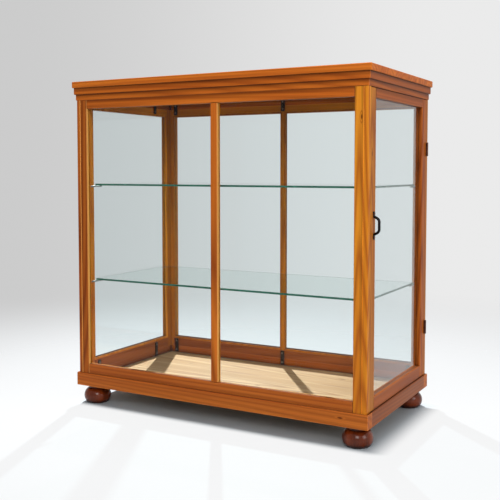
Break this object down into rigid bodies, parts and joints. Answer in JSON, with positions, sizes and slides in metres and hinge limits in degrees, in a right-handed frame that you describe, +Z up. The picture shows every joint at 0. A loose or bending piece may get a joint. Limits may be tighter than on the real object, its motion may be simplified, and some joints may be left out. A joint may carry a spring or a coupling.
{
  "type": "glass display case",
  "caption": "Free-standing glazed pine display case on turned bun feet, with glass shelves, a stepped cornice and a glazed end door on butt hinges with a bow pull",
  "frame": {"origin": "on the floor under the middle of the case, the middle of the four feet", "axes": "+X along the front towards the door end, +Y from the front to the back, +Z up"},
  "size_m": [1.0308, 0.547, 1.046],
  "materials": {
    "frame_wood": "varnished orange-brown pine",
    "door_wood": "varnished red-brown pine",
    "base_wood": "varnished red-brown pine",
    "foot_wood": "dark glossy varnish",
    "floor_wood": "pale varnished pine",
    "bead_wood": "varnished pine",
    "pane_glass": "clear float glass",
    "shelf_glass": "clear float glass with polished edges",
    "dark_steel": "dark lacquered steel",
    "pin_steel": "dull steel",
    "black_iron": "black glossy lacquer"
  },
  "bodies": {
    "case": {"front_left_foot": "foot_wood", "front_right_foot": "foot_wood", "rear_left_foot": "foot_wood", "rear_right_foot": "foot_wood", "base_front_board": "base_wood", "base_back_board": "base_wood", "base_left_board": "base_wood", "base_right_board": "base_wood", "floor_panel": "floor_wood", "front_left_stile": "frame_wood", "front_right_stile": "frame_wood", "front_top_rail": "frame_wood", "front_bottom_rail": "frame_wood", "front_mullion": "frame_wood", "front_left_glass": "pane_glass", "front_right_glass": "pane_glass", "front_glazing_beads": "bead_wood", "back_left_stile": "frame_wood", "back_right_stile": "frame_wood", "back_top_rail": "frame_wood", "back_bottom_rail": "frame_wood", "back_mullion": "frame_wood", "back_left_glass": "pane_glass", "back_right_glass": "pane_glass", "back_glazing_beads": "bead_wood", "left_front_stile": "frame_wood", "left_rear_stile": "frame_wood", "left_top_rail": "frame_wood", "left_bottom_rail": "frame_wood", "left_glass": "pane_glass", "left_glazing_beads": "bead_wood", "door_stop": "bead_wood", "hinge_case_leaves": "dark_steel", "hinge_pins": "dark_steel", "hinge_case_screws": "dark_steel", "cornice_front": "base_wood", "cornice_back": "base_wood", "cornice_left": "base_wood", "cornice_right": "base_wood", "top_board": "base_wood", "lower_shelf": "shelf_glass", "upper_shelf": "shelf_glass", "shelf_pins": "pin_steel", "base_straps": "dark_steel", "cornice_straps": "dark_steel", "strap_screws": "dark_steel"},
    "door": {"door_front_stile": "door_wood", "door_rear_stile": "door_wood", "door_top_rail": "door_wood", "door_bottom_rail": "door_wood", "door_glass": "pane_glass", "door_glazing_beads": "bead_wood", "door_handle": "black_iron", "handle_screws": "black_iron", "hinge_door_leaves": "dark_steel", "hinge_door_screws": "dark_steel"}
  },
  "joints": [
    {"name": "door_swing", "type": "hinge", "parent": "case", "child": "door", "pos_m": [0.5038, 0.24475, 0.545], "axis": [0, 0, 1], "range_deg": [0, 170]}
  ]
}
